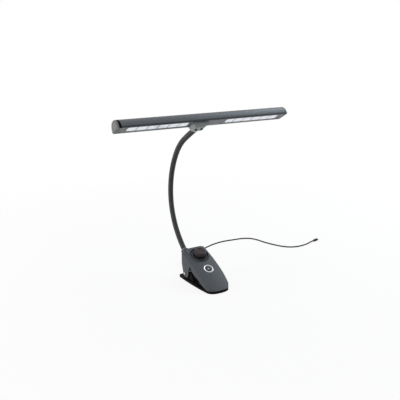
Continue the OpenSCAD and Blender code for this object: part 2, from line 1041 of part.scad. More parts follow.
module potentiometer() {
  under = well_floor - 1.6;
  body_r = 8;
  color(steel)
    on_top(knob_y, knob_x)
      rotate_extrude($fn = 64)
        polygon([
          [shaft_r + run, under - 3],
          [0, under - 3],
          [0, under - 9],
          [body_r, under - 9],
          [body_r, under],
          [bush_r, under],
          [bush_r, well_floor + 2.4],
          [shaft_r + run, well_floor + 2.4]
        ]);
}

module pot_nut() {
  color(steel)
    on_top(knob_y, knob_x)
      translate([0, 0, well_floor])
        difference() {
          cylinder(r = 5.6, h = 1.8, $fn = 6);
          translate([0, 0, -1])
            cylinder(r = bush_r + run, h = 4, $fn = 48);
        }
}

module pot_shaft() {
  color(steel)
    on_top(knob_y, knob_x)
      translate([0, 0, well_floor - 4.5])
        cylinder(r = shaft_r, h = 12.5, $fn = 48);
}

badge_sink = 0.8;
badge_rim = 2.6;

// Plain round badge: a polished ring round a dark disc with a small dome, and no lettering.
module badge_ring() {
  r = badge_d / 2;
  color("#d9dce0")
    on_top(badge_y)
      rotate_extrude($fn = 96)
        polygon([
          [r - badge_rim, -badge_sink],
          [r, -badge_sink],
          [r, 0.4],
          [r - 0.6, 1],
          [r - badge_rim / 2, 1.3],
          [r - badge_rim + 0.4, 1],
          [r - badge_rim, 0.5]
        ]);
}

module badge_face() {
  r = badge_d / 2 - badge_rim - seat;
  color(black_plastic)
    on_top(badge_y)
      rotate_extrude($fn = 96)
        polygon([
          [0, -badge_sink],
          [r, -badge_sink],
          [r, 0],
          [2.4, 0.1],
          [1.7, 0.8],
          [0, 1.1]
        ]);
}

// ---------------------------------------------------------------- fittings of the clip

outlet_x = 15;
outlet_z = 38;
outlet_r = 3.6;
outlet_face_y = 45.5;
relief_end_y = 66;

// Sleeve in the shell's boss, with a thin collar and a step that the neck's end stands on.
module neck_base_ferrule() {
  inner_r = neck_d / 2 + 0.2;
  color(steel)
    on_neck(0, boss_to)
      rotate_extrude($fn = 64)
        polygon([
          [lead_d / 2 + 0.5, -sleeve],
          [base_bore_r - run, -sleeve],
          [base_bore_r - run, 0],
          [collar_r, 0],
          [collar_r, collar_t * 0.6],
          [collar_r - 0.4, collar_t],
          [inner_r, collar_t],
          [inner_r, -neck_seat - gap],
          [lead_d / 2 + 0.5, -neck_seat - gap]
        ]);
}

// Bend relief of the cord: a plug through the back wall and a stepped cone outside.
module strain_relief() {
  r = outlet_r;
  neck_r = cord_d / 2 + 0.8;
  color(black_plastic)
    translate([outlet_x, 0, outlet_z])
      rotate([-90, 0, 0])
        rotate_extrude($fn = 48)
          polygon(concat(
            [[0, 41], [r, 41]],
            [for (i = [0:3])
              let (y = 52 + i * 3.4, s = r - (r - neck_r) * i / 3.4)
              each [[s, y], [s, y + 2.2], [s - 0.5, y + 2.2], [s - 0.5, y + 3.4]]],
            [[0, relief_end_y]]
          ));
}

pin_half = half_width(pin_y) + seat;

// Hinge pin with a round head outside the left cheek.
module hinge_pin() {
  color("#d9dce0")
    translate([0, pin_y, pin_z])
      rotate([0, 90, 0])
        rotate_extrude($fn = 48)
          polygon([
            [0, -pin_half - 1.4],
            [pin_d / 2 + 0.4, -pin_half - 1.4],
            [pin_d / 2 + 1.3, -pin_half - 0.6],
            [pin_d / 2 + 1.3, -pin_half],
            [pin_d / 2, -pin_half],
            [pin_d / 2, pin_half + 1.6],
            [0, pin_half + 1.6]
          ]);
}

// Push-on washer that keeps the pin in at the right cheek.
module pin_washers() {
  color(steel)
    translate([pin_half, pin_y, pin_z])
      rotate([0, 90, 0])
        difference() {
          cylinder(d = pin_d + 3.4, h = 0.9, $fn = 48);
          translate([0, 0, -1])
            cylinder(r = pin_d / 2 + run, h = 3, $fn = 48);
        }
}

spring_r = 5.6;
spring_wire = 1.6;
spring_turns = 4;
spring_pitch = 2.2;
sleeve_r = 4.4;
sleeve_half = spring_turns * spring_pitch / 2 + 3;

module spring_sleeve() {
  color(black_plastic)
    translate([-sleeve_half, pin_y, pin_z])
      rotate([0, 90, 0])
        difference() {
          cylinder(r = sleeve_r, h = 2 * sleeve_half, $fn = 48);
          translate([0, 0, -1])
            cylinder(r = pin_d / 2 + run, h = 2 * sleeve_half + 2, $fn = 48);
        }
}

// Torsion spring: a helix about the pin whose two arms run to the back, the lower one over the
// jaw's tail and the upper one under the base's floor. Each arm's slope is its angle to the level.
low_arm_length = 15;
low_arm_slope = 15;
high_arm_length = 8;
high_arm_slope = 20;
spring_steps = 8;
spring_start = 270 - low_arm_slope;
spring_sweep = 360 * spring_turns + 180 - low_arm_slope - high_arm_slope;
spring_count = round(spring_steps * spring_sweep / 360);

function spring_angle(i) = spring_start - spring_sweep * i / spring_count;
function spring_point(i) =
  let (w = spring_angle(i))
  [(i / spring_count - 0.5) * spring_turns * spring_pitch, spring_r * cos(w), spring_r * sin(w)];
function spring_ring(p, w) =
  [for (j = [0:5])
    let (q = 60 * j, out = spring_wire / 2 * cos(q))
    [p[0] + spring_wire / 2 * sin(q), p[1] + out * cos(w), p[2] + out * sin(w)]];
function spring_way(w) = [0, sin(w), -cos(w)];

module torsion_spring() {
  w0 = spring_angle(0);
  w1 = spring_angle(spring_count);
  color(steel)
    translate([0, pin_y, pin_z])
      skin(concat(
        [spring_ring(spring_point(0) - low_arm_length * spring_way(w0), w0)],
        [for (i = [0:spring_count])
          spring_ring(spring_point(i), spring_angle(i))],
        [spring_ring(spring_point(spring_count) + high_arm_length * spring_way(w1), w1)]
      ));
}

// ---------------------------------------------------------------- clip, lower jaw

ear_t = 2.8;
ear_out = half_width(-3) - shell_wall - side_clear;
ear_in = ear_out - ear_t;

module lower_jaw() {
  color(shell_grey)
    difference() {
      union() {
        linear_extrude(jaw_plate)
          jaw_plan();
        for (s = [-1, 1])
          translate([s * (ear_in + ear_out) / 2, 0, 0])
            across(ear_t)
              polygon(rounded([
                [pin_y + 9, jaw_plate - 1, 0],
                [pin_y + 6, pin_z + 4, 4],
                [pin_y - 2, pin_z + 7.5, 6],
                [14, 25.5, 4],
                [8.5, 23.5, 3],
                [1.5, jaw_plate - 1, 0]
              ]));
      }
      translate([-clip_width, pin_y, pin_z])
        rotate([0, 90, 0])
          cylinder(r = pin_d / 2 + run, h = 2 * clip_width, $fn = 48);
      // Groove in the tail's end for the fingers.
      translate([0, tail_y - 5, jaw_plate + 3.2])
        rotate([0, 90, 0])
          cylinder(r = 4.4, h = clip_width - 26.4, center = true, $fn = 64);
    }
}

pad_from = -56;
pad_to = -3;
tooth_pitch = 3.6;

module lower_pad() {
  teeth = floor((pad_to - pad_from) / tooth_pitch);
  color(black_plastic)
    across(pad_width)
      polygon(concat(
        [[pad_from, jaw_plate]],
        [for (i = [0:teeth - 1])
          let (y = pad_from + i * tooth_pitch)
          each [
            [y, jaw_plate + pad_base],
            [y + tooth_pitch * 0.75, jaw_plate + pad_base + tooth_height]
          ]],
        [
          [pad_from + teeth * tooth_pitch, jaw_plate + pad_base],
          [pad_from + teeth * tooth_pitch, jaw_plate]
        ]
      ));
}

// ---------------------------------------------------------------- cord

cord_r = cord_d / 2;
floor_z = cord_r + 0.05;

// The coil lies behind the clip. Its turns spiral in and out again in four layers, and climb a
// layer in the half turn where the spiral reverses.
coil_layers = 4;
coil_share = 0.175;
coil_loops = coil_turns + coil_share;
coil_step = cord_d + coil_gap;
coil_centre = [outlet_x + coil_radius, 118];
coil_rings = 24;
layer_loops = coil_loops / coil_layers;
coil_top_z = floor_z + (coil_layers - 1) * coil_step;

// Distance from the outside of the coil, in turns, after t loops.
function coil_depth(t) =
  let (k = min(coil_layers - 1, floor(t / layer_loops)), f = t - k * layer_loops)
  k % 2 == 0 ? f : layer_loops - f;
function ramp(f) = f < 0 ? 0 : f > 1 ? 1 : f;
function coil_drop(t) =
  let (steps = [for (k = [1:coil_layers - 1]) ramp((t - k * layer_loops) / 0.5 + 0.5)])
  steps * [for (k = [1:coil_layers - 1]) 1];
function coil_point(t) =
  let (w = 180 - 360 * t, r = coil_radius - coil_step * coil_depth(t))
  [coil_centre[0] + r * cos(w), coil_centre[1] + r * sin(w), coil_top_z - coil_step * coil_drop(t)];

coil_count = ceil(coil_loops * coil_rings);
function coil_time(i) = coil_loops * i / coil_count;

function coil_ring(p, w) =
  [for (j = [0:5])
    let (q = -60 * j, out = cord_r * cos(q))
    [p[0] + out * cos(w), p[1] + out * sin(w), p[2] + cord_r * sin(q)]];

coil_points = [for (i = [0:coil_count]) coil_point(coil_time(i))];
spring_self_gap = spring_pitch - spring_wire;
echo(spring_self_gap = spring_self_gap);
coil_self_gap = min([for (i = [0:coil_count - 1], j = [i + 12:1:coil_count])
  norm(coil_points[i] - coil_points[j])]) - cord_d;
echo(coil_self_gap = coil_self_gap);

coil_end_angle = 180 - 360 * coil_loops;
coil_in = coil_point(0) + [0, -cord_d, 0];
coil_out_direction = [sin(coil_end_angle), -cos(coil_end_angle), 0];
coil_out = coil_point(coil_loops) + cord_d * coil_out_direction;

module cord_coil() {
  color(black_plastic)
    skin(concat(
      [coil_ring(coil_in, 180)],
      [for (i = [0:coil_count]) coil_ring(coil_points[i], 180 - 360 * coil_time(i))],
      [coil_ring(coil_out, coil_end_angle)]
    ));
}

// Smooth curve through a list of points.
function spline_at(a, b, c, d, t) =
  0.5 * (2 * b + (c - a) * t + (2 * a - 5 * b + 4 * c - d) * t * t
         + (3 * b - a - 3 * c + d) * t * t * t);
function spline(points, steps) =
  let (n = len(points))
  concat(
    [for (i = [1:n - 3], j = [0:steps - 1])
      spline_at(points[i - 1], points[i], points[i + 1], points[i + 2], j / steps)],
    [points[n - 2]]
  );

function cord_ring(p, direction) =
  let (
    d = direction / norm(direction),
    s = [d[1], -d[0], 0] / norm([d[0], d[1]]),
    u = cross(s, d)
  )
  [for (j = [0:7]) p + cord_r * (cos(45 * j) * s + sin(45 * j) * u)];

// Tube along a smooth curve; the first and last points only give the ends' directions.
module cord_tube(points, steps) {
  path = spline(points, steps);
  n = len(path);
  skin([for (i = [0:n - 1])
    let (way =
      i == 0 ? points[1] - points[0]
      : i == n - 1 ? points[len(points) - 1] - points[len(points) - 2]
      : path[i + 1] - path[i - 1])
    cord_ring(path[i], way)]);
}

module cord_drop() {
  start = [outlet_x, relief_end_y, outlet_z];
  color(black_plastic)
    cord_tube([
      start - [0, 8, 0],
      start,
      [outlet_x, 80, 33],
      [outlet_x, 96, 20],
      coil_in - [0, 8, 0],
      coil_in,
      coil_in + [0, 10, 0]
    ], 3);
}

// The visible stretch on the floor, through points chosen by eye.
cord_route = [
  [78, 165], [118, 184], [152, 196], [182, 200], [211, 197], [236, 193], [255, 183],
  [265, 164], [270, 138], [278, 113], [288, 91], [302, 75], [322, 67], [350, 68]
];
plug_direction = [cos(12), sin(12), 0];
plug_start = [382, 75, 3.4];

module cord_run() {
  color(black_plastic)
    cord_tube(concat(
      [coil_out - 10 * coil_out_direction, coil_out, coil_out + 8 * coil_out_direction],
      [for (p = cord_route) [p[0], p[1], floor_z]],
      [plug_start - 8 * plug_direction, plug_start, plug_start + 10 * plug_direction]
    ), 4);
}

module on_plug() {
  translate(plug_start)
    rotate([0, 0, 12])
      rotate([0, 90, 0])
        children();
}

module plug_body() {
  r = plug_start[2] - 0.1;
  color(black_plastic)
    on_plug()
      rotate_extrude($fn = 48)
        polygon([
          [0, 0],
          [cord_r + 0.4, 0],
          [cord_r + 0.7, 3.5],
          [r, 5],
          [r, 16.4],
          [r - 0.4, 17],
          [0, 17]
        ]);
}

module plug_barrel() {
  color(steel)
    on_plug()
      translate([0, 0, 17])
        difference() {
          cylinder(r = 2, h = 8.5, $fn = 48);
          translate([0, 0, 0.6])
            cylinder(r = 0.9, h = 9, $fn = 32);
        }
}

// ---------------------------------------------------------------- the object

bar_housing();
end_cap_left();
end_cap_right();
underside_plate();
plate_screws();
led_board_left();
led_board_right();
led_chips_left();
led_chips_right();
reflector_left();
reflector_right();
window_left();
window_right();
driver_board();
neck_bracket();
bracket_screws();
neck_top_ferrule();
neck_segment(1);  // neck_segment_1
neck_segment(2);  // neck_segment_2
neck_segment(3);  // neck_segment_3
neck_segment(4);  // neck_segment_4
neck_segment(5);  // neck_segment_5
neck_segment(6);  // neck_segment_6
neck_segment(7);  // neck_segment_7
neck_lead(1);  // neck_lead_1
neck_lead(2);  // neck_lead_2
neck_lead(3);  // neck_lead_3
neck_lead(4);  // neck_lead_4
neck_lead(5);  // neck_lead_5
neck_lead(6);  // neck_lead_6
neck_lead(7);  // neck_lead_7
upper_jaw_shell();
upper_jaw_base();
base_screws();
knob_bezel();
knob();
potentiometer();
pot_shaft();
pot_nut();
dimmer_board();
badge_ring();
badge_face();
neck_base_ferrule();
strain_relief();
hinge_pin();
pin_washers();
spring_sleeve();
torsion_spring();
upper_pad();
lower_jaw();
lower_pad();
cord_drop();
cord_coil();
cord_run();
plug_body();
plug_barrel();
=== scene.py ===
import bpy
import math
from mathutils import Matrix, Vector


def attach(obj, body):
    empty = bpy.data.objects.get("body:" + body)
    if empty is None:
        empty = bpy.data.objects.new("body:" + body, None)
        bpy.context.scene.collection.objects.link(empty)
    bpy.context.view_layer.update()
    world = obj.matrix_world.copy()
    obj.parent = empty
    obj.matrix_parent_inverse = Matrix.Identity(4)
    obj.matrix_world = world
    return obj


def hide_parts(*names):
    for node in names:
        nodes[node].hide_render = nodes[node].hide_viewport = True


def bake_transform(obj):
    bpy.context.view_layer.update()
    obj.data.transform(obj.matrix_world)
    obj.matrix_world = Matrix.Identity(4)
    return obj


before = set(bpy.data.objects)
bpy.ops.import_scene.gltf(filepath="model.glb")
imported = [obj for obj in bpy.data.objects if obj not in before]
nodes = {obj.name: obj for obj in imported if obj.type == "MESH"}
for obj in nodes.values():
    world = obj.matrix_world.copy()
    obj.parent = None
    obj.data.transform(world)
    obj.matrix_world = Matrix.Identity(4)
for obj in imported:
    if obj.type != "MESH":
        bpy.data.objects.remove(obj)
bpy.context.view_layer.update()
mm = 0.001
farOff = 1.0                # metres, farther than any point of the lamp


def linear(code):
    # sRGB hex to the linear colour that the shader wants
    parts = [int(code[i:i + 2], 16) / 255 for i in (1, 3, 5)]
    return [p / 12.92 if p <= 0.04045 else ((p + 0.055) / 1.055) ** 2.4 for p in parts] + [1.0]


def addNode(tree, kind, values=None, links=None, **settings):
    node = tree.nodes.new(kind)
    for name, value in settings.items():
        setattr(node, name, value)
    for socket, value in (values or {}).items():
        node.inputs[socket].default_value = value
    for socket, source in (links or {}).items():
        tree.links.new(source, node.inputs[socket])
    return node


# camera, worked out from the photograph's own perspective

cameraSetup = {
    "target": (0.0, 0.0, 0.150),
    "turn": 32.01,          # degrees to the left of straight in front
    "rise": 17.04,          # degrees above level
    "distance": 1.25387,    # metres from the target
    "focal": 591.54,        # in pixels, as the centre is
    "centre": (204.71, 217.11),     # from the frame's left and top, where the camera points
    "pixels": 400,          # the frame's width and height
    "sensor": 36.0,         # mm
    "clip": (0.05, 30),     # metres
}


def makeCamera(c):
    turn, rise = math.radians(c["turn"]), math.radians(c["rise"])
    back = Vector((-math.sin(turn) * math.cos(rise), -math.cos(turn) * math.cos(rise),
                   math.sin(rise)))
    data = bpy.data.cameras.new("photoCamera")
    data.sensor_width = c["sensor"]
    data.lens = c["focal"] / c["pixels"] * c["sensor"]
    data.shift_x = (c["pixels"] / 2 - c["centre"][0]) / c["pixels"]
    data.shift_y = (c["centre"][1] - c["pixels"] / 2) / c["pixels"]
    data.clip_start, data.clip_end = c["clip"]
    camera = bpy.data.objects.new("photoCamera", data)
    bpy.context.collection.objects.link(camera)
    camera.location = Vector(c["target"]) + back * c["distance"]
    camera.rotation_mode = "QUATERNION"
    camera.rotation_quaternion = (-back).to_track_quat("-Z", "Y")
    bpy.context.scene.camera = camera


makeCamera(cameraSetup)
print("camera placed")


def skinRings(name, rings, closed=False):
    # closed mesh through rings of equal point count: a bar with two ends, or a hoop
    count, rows = len(rings[0]), len(rings)
    verts = [p for ring in rings for p in ring]
    faces = []
    for i in range(rows if closed else rows - 1):
        near, far = i * count, (i + 1) % rows * count
        for j in range(count):
            k = (j + 1) % count
            faces.append((near + j, near + k, far + k, far + j))
    if not closed:
        faces.append(tuple(range(count - 1, -1, -1)))
        faces.append(tuple((rows - 1) * count + j for j in range(count)))
    mesh = bpy.data.meshes.new(name)
    mesh.from_pydata([tuple(v) for v in verts], [], faces)
    mesh.shade_smooth()
    if not closed:
        # flat ends, so that they don't darken the last ring
        for face in mesh.polygons[-2:]:
            face.use_smooth = False
    mesh.validate()
    piece = bpy.data.objects.new(name, mesh)
    bpy.context.collection.objects.link(piece)
    return piece


def smoothSpline(points, steps):
    # the same curve as the source's: it passes through all points but the first and last
    path = []
    for i in range(1, len(points) - 2):
        a, b, c, d = (Vector(p) for p in points[i - 1:i + 3])
        for j in range(steps):
            t = j / steps
            path.append(0.5 * (2 * b + (c - a) * t + (2 * a - 5 * b + 4 * c - d) * t * t
                               + (3 * b - a - 3 * c + d) * t * t * t))
    path.append(Vector(points[-2]))
    return path


def ringsAlong(path, radius, sides):
    # rings that don't twist, square to the path
    rings = []
    across = Vector((1, 0, 0))
    for i, p in enumerate(path):
        ahead = (path[min(i + 1, len(path) - 1)] - path[max(i - 1, 0)]).normalized()
        across = (across - ahead * across.dot(ahead)).normalized()
        up = ahead.cross(across)
        rings.append([p + radius * (math.cos(w) * across + math.sin(w) * up)
                      for w in (2 * math.pi * j / sides for j in range(sides))])
    return rings


# power cord: one lead from the bend relief, through the coil behind the clip, to the connector

cordLead = {
    "diameter": 3.4 * mm,
    "exit": (15 * mm, 66 * mm, 38 * mm),
    # the lengths and points from here on are in mm
    "drop": [(15, 80, 33), (15, 96, 20)],
    "coilCentre": (39, 118),
    "coilRadius": 24,
    "coilStep": 3.9,        # from turn to turn, and from layer to layer
    "coilLoops": 10.175,
    "coilLayers": 4,
    "coilStart": 180,       # degrees from +X
    "layerChange": 0.5,     # the part of a loop in which it sinks to the next layer
    "clear": 0.05,          # between the cord and the floor
    "floor": [(78, 165), (118, 184), (152, 196), (182, 200), (211, 197), (236, 193), (255, 183),
              (265, 164), (270, 138), (278, 113), (288, 91), (302, 75), (322, 67), (350, 68)],
    "plugStart": (382, 75, 3.4),
    "plugTurn": 12.0,       # degrees from +X
    "straight": 8,          # it runs about straight for this far at the relief, coil and plug
    "past": 10,             # the curve's last guide point lies this far past its end
    "dropSteps": 8,         # points from one guide point to the next
    "floorSteps": 10,
    "sides": 16,
    "ringsALoop": 60,
}
coilTie = {
    "angle": 62,            # where it sits on the coil, degrees from +X
    "width": 7 * mm,
    "thickness": 0.8 * mm,
    "bite": 0.5 * mm,       # pulled tight, it sinks about this far into the lowest turns
    "corner": 2.2 * mm,
    "cornerSteps": 6,
    "lowGap": 0.1 * mm,     # added under the bite
    "highGap": 0.2 * mm,    # over the highest turns
    "floorGap": 0.02 * mm,  # the least height over the floor
}


def coilPoint(c, t):
    # the cord's middle after t loops: inwards and out again by turns, and down layer by layer
    layerLoops = c["coilLoops"] / c["coilLayers"]
    k = min(c["coilLayers"] - 1, int(t / layerLoops))
    f = t - k * layerLoops
    depth = f if k % 2 == 0 else layerLoops - f
    # each change of layer is half done where one layer's loops end
    sunk = sum(min(1, max(0, (t - n * layerLoops) / c["layerChange"] + 0.5))
               for n in range(1, c["coilLayers"]))
    w = math.radians(c["coilStart"] - 360 * t)
    r = c["coilRadius"] - c["coilStep"] * depth
    low = c["diameter"] / mm / 2 + c["clear"]
    z = low + (c["coilLayers"] - 1 - sunk) * c["coilStep"]
    return Vector((c["coilCentre"][0] + r * math.cos(w), c["coilCentre"][1] + r * math.sin(w), z))


def makeTie(c, t):
    # a hook-and-loop strap round the coil's section
    w = math.radians(t["angle"])
    outward = Vector((math.cos(w), math.sin(w), 0))
    along = Vector((-math.sin(w), math.cos(w), 0))
    middle = Vector((c["coilCentre"][0], c["coilCentre"][1], 0)) * mm
    half = c["diameter"] / 2
    inner = (c["coilRadius"] - c["coilStep"] * c["coilLoops"] / c["coilLayers"]) * mm - half
    outer = c["coilRadius"] * mm + half
    low = t["bite"] + t["lowGap"]
    high = ((c["coilLayers"] - 1) * c["coilStep"]) * mm + 2 * half + t["highGap"]
    corners = [(outer, high, 0), (inner, high, 90), (inner, low, 180), (outer, low, 270)]
    rings = []
    for r, z, start in corners:
        # each corner turns a quarter round a point set in by the corner's radius
        towards = (-1 if r == outer else 1, -1 if z == high else 1)
        pivot = (r + towards[0] * t["corner"], z + towards[1] * t["corner"])
        for k in range(t["cornerSteps"] + 1):
            a = math.radians(start + 90 * k / t["cornerSteps"])
            ring = []
            for far, side in ((0, -1), (0, 1), (1, 1), (1, -1)):
                reach = t["corner"] + far * t["thickness"]
                # the strap stays above the floor, also where it passes below the coil
                lift = max(t["floorGap"], pivot[1] + reach * math.sin(a))
                ring.append(middle + outward * (pivot[0] + reach * math.cos(a))
                            + Vector((0, 0, lift)) + along * (side * t["width"] / 2))
            rings.append(ring)
    piece = skinRings("coilTie", rings, closed=True)
    piece.data.shade_flat()
    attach(piece, "upper_jaw")
    return piece


def makeCord(c):
    thick = c["diameter"] / mm
    coilIn = coilPoint(c, 0) + Vector((0, -thick, 0))
    last = math.radians(c["coilStart"] - 360 * c["coilLoops"])
    outWay = Vector((math.sin(last), -math.cos(last), 0))
    coilOut = coilPoint(c, c["coilLoops"]) + outWay * thick
    exitPoint = Vector(c["exit"]) / mm
    straight, past = c["straight"], c["past"]
    dropPoints = [exitPoint - Vector((0, straight, 0)), exitPoint, *c["drop"],
                  coilIn - Vector((0, straight, 0)), coilIn, coilIn + Vector((0, past, 0))]
    steps = math.ceil(c["coilLoops"] * c["ringsALoop"])
    coil = [coilPoint(c, c["coilLoops"] * i / steps) for i in range(steps + 1)]
    turn = math.radians(c["plugTurn"])
    plugWay = Vector((math.cos(turn), math.sin(turn), 0))
    plugStart = Vector(c["plugStart"])
    low = thick / 2 + c["clear"]
    runPoints = [coilOut - outWay * past, coilOut, coilOut + outWay * straight,
                 *[(x, y, low) for x, y in c["floor"]],
                 plugStart - plugWay * straight, plugStart, plugStart + plugWay * past]
    path = (smoothSpline(dropPoints, c["dropSteps"])[:-1] + [coilIn] + coil
            + smoothSpline(runPoints, c["floorSteps"]))
    path = [p * mm for p in path]
    piece = skinRings("powerCord", ringsAlong(path, c["diameter"] / 2, c["sides"]))
    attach(piece, "upper_jaw")
    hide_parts("cord_drop", "cord_coil", "cord_run")
    return piece


tiePiece = makeTie(cordLead, coilTie)
powerCord = makeCord(cordLead)
print("cord made")


# gooseneck: a wound steel hose, one piece over each joint

neckSetup = {
    "x": -20 * mm,
    "root": (51 * mm, 62.4 * mm),   # y and z of its foot
    "lean": 51,             # degrees towards the back, at its foot
    "turns": [15, 19, 19, 16.5, 15.5, 23, 4],   # degrees forward over each of seven equal parts
    "length": 337 * mm,
    "below": 3.9 * mm,      # how far it reaches down into the clip's ferrule
    "above": 0.0,           # it ends flush on the upper ferrule's collar
    "radius": 5.8 * mm,
    "groove": 0.55 * mm,
    "pitch": 2.2 * mm,
    "sides": 40,
    "bend": 19 * mm,        # the bend spreads over this much to each side of a joint
    # one winding seen in section: share of the pitch, share of the groove's depth
    "winding": [(0.0, 1.0), (0.10, 0.45), (0.24, 0.10), (0.42, 0.0), (0.60, 0.0), (0.78, 0.12),
                (0.91, 0.5)],
}


def neckPoint(c, s):
    # centre and upward direction of the neck, s metres along it; its ends run on along their arcs
    share = c["length"] / len(c["turns"])
    y, z = c["root"]
    lean = math.radians(c["lean"])
    for k, turn in enumerate(c["turns"]):
        bend = math.radians(turn)
        r = share / bend
        isHere = s < share or k == len(c["turns"]) - 1
        w = lean - bend * (s / share if isHere else 1)
        y += r * (math.cos(w) - math.cos(lean))
        z += r * (math.sin(lean) - math.sin(w))
        if isHere:
            return Vector((c["x"], y, z)), Vector((0, math.sin(w), math.cos(w)))
        lean = w
        s -= share


def neckRing(c, turnIndex, profileIndex):
    # the windings climb by one pitch round the neck, as a real wound hose's do
    ring = []
    place, depth = c["winding"][profileIndex]
    r = c["radius"] - c["groove"] * depth
    for j in range(c["sides"]):
        share = j / c["sides"]
        s = -c["below"] + (turnIndex + place + share) * c["pitch"]
        s = max(-c["below"], min(c["length"] + c["above"], s))
        centre, along = neckPoint(c, s)
        side = Vector((1, 0, 0))
        out = along.cross(side)
        w = 2 * math.pi * share
        ring.append(centre + r * (math.cos(w) * side + math.sin(w) * out))
    return ring


def makeNeck(c):
    segments = len(c["turns"])
    share = c["length"] / segments
    whole = c["length"] + c["below"] + c["above"]
    windings = math.ceil(whole / c["pitch"])
    # cut between pieces in the middle of each inner segment
    inner = [round((c["below"] + share * (k + 0.5)) / c["pitch"]) for k in range(1, segments - 1)]
    cuts = [0] + inner + [windings]
    pieces = []
    for k in range(segments - 1):
        steps = [(i, p) for i in range(cuts[k], cuts[k + 1]) for p in range(len(c["winding"]))]
        steps.append((cuts[k + 1], 0))
        piece = skinRings("neckHose%d" % (k + 1), [neckRing(c, i, p) for i, p in steps])
        # how deep each point lies in its groove, for the material's painted shade
        depth = piece.data.attributes.new("grooveDepth", "FLOAT", "POINT")
        depth.data.foreach_set("value", [c["winding"][p][1] for i, p in steps
                                         for j in range(c["sides"])])
        joint, along = neckPoint(c, share * (k + 1))
        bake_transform(piece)
        replaced = ["neck_segment_%d" % (k + 1)]
        if k == segments - 2:
            replaced.append("neck_segment_%d" % segments)
        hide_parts(*replaced)
        pieces.append(piece)
    return pieces


neckPieces = makeNeck(neckSetup)
print("neck made:", len(neckPieces), "pieces")


# torsion spring round the hinge pin

springSetup = {
    "pin": (34 * mm, 16 * mm),      # y and z of the hinge pin
    "radius": 5.6 * mm,             # to the middle of the wire
    "wire": 1.6 * mm,
    "turns": 4,
    "pitch": 2.2 * mm,
    "lowArm": (15 * mm, 15),        # length, and slope in degrees
    "highArm": (8 * mm, 20),
    "lowSide": 270,                 # degrees from +Y towards +Z: a level arm leaves below the pin
    "ringsATurn": 24,
    "sides": 10,
}


def makeSpring(c):
    half = c["turns"] * c["pitch"] / 2
    sweep = 360 * c["turns"] + 180 - c["lowArm"][1] - c["highArm"][1]
    count = round(c["ringsATurn"] * sweep / 360)
    pinY, pinZ = c["pin"]
    path, ways = [], []
    for i in range(count + 1):
        w = math.radians(c["lowSide"] - c["lowArm"][1] - sweep * i / count)
        path.append(Vector((half * (2 * i / count - 1), pinY + c["radius"] * math.cos(w),
                            pinZ + c["radius"] * math.sin(w))))
        ways.append(Vector((0, math.sin(w), -math.cos(w))))
    path = [path[0] - c["lowArm"][0] * ways[0]] + path + [path[-1] + c["highArm"][0] * ways[-1]]
    piece = skinRings("springWire", ringsAlong(path, c["wire"] / 2, c["sides"]))
    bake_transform(piece)
    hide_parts("torsion_spring")
    return piece


springPiece = makeSpring(springSetup)
print("spring made")


# places that the materials need, as the source has them

knobSeat = {"point": (1.5, 24.7, 56.21), "tilt": 21.37}     # mm, degrees towards the front
badgeSeat = {"point": (0, -15.5, 37.9), "tilt": 27.67}
barSetup = {
    "length": 400,          # in mm, as its other lengths are
    "cap": 6,
    "groove": 0.8,
    "tilt": 29,             # degrees
    "underside": 302.2,     # its plane's distance from the frame's origin, square to the plane
    "windowMiddle": 110.5,
    "windowLength": 135,
    "cells": 6,
    "gapShadeColour": "#060607",
}

# what all the finishes share; in the looks below, every length is in mm
finishSetup = {
    "driftDetail": 3,
    "driftRoughness": 0.55,
    "grainDetail": 4,
    "grainRoughness": 0.6,
    "grainStrength": 0.6,
    "grainSpan": (0.3, 0.7),        # the noise's values between which the gloss changes
    "glossSpan": (0.85, 1.18),      # times the look's roughness
}


def startFinish(name, look, shared=finishSetup):
    # look holds hex colours base and shade, drift in mm between the two, and grain as
    # (spacing mm, height mm, stretch along x y z)
    material = bpy.data.materials.new(name)
    material.use_nodes = True
    tree = material.node_tree
    tree.nodes.clear()
    place = addNode(tree, "ShaderNodeTexCoord").outputs["Object"]
    out = addNode(tree, "ShaderNodeOutputMaterial")
    surface = addNode(tree, "ShaderNodeBsdfPrincipled", {
        "Base Color": linear(look["base"]), "Roughness": look["roughness"],
        "Metallic": look.get("metallic", 0.0), **look.get("sockets", {})})
    tree.links.new(surface.outputs["BSDF"], out.inputs["Surface"])
    if "shade" in look:
        # a slow drift between two close tones, as paint and mouldings have
        cloud = addNode(tree, "ShaderNodeTexNoise", {
            "Scale": 1 / (look["drift"] * mm), "Detail": shared["driftDetail"],
            "Roughness": shared["driftRoughness"]}, {"Vector": place})
        tones = addNode(tree, "ShaderNodeMix", {6: linear(look["base"]), 7: linear(look["shade"])},
                        data_type="RGBA")
        tree.links.new(cloud.outputs["Fac"], tones.inputs[0])
        tree.links.new(tones.outputs[2], surface.inputs["Base Color"])
    if "grain" in look:
        spacing, height, stretch = look["grain"]
        run = addNode(tree, "ShaderNodeMapping", {"Scale": stretch}, {"Vector": place})
        speck = addNode(tree, "ShaderNodeTexNoise", {
            "Scale": 1 / (spacing * mm), "Detail": shared["grainDetail"],
            "Roughness": shared["grainRoughness"]}, {"Vector": run.outputs["Vector"]})
        bump = addNode(tree, "ShaderNodeBump", {
            "Strength": shared["grainStrength"], "Distance": height * mm},
            {"Height": speck.outputs["Fac"]})
        tree.links.new(bump.outputs["Normal"], surface.inputs["Normal"])
        low, high = shared["grainSpan"]
        glossy, dull = (look["roughness"] * share for share in shared["glossSpan"])
        vary = addNode(tree, "ShaderNodeMapRange", {
            "From Min": low, "From Max": high, "To Min": glossy, "To Max": min(1, dull)},
            {"Value": speck.outputs["Fac"]})
        tree.links.new(vary.outputs["Result"], surface.inputs["Roughness"])
    return material, tree, surface, place


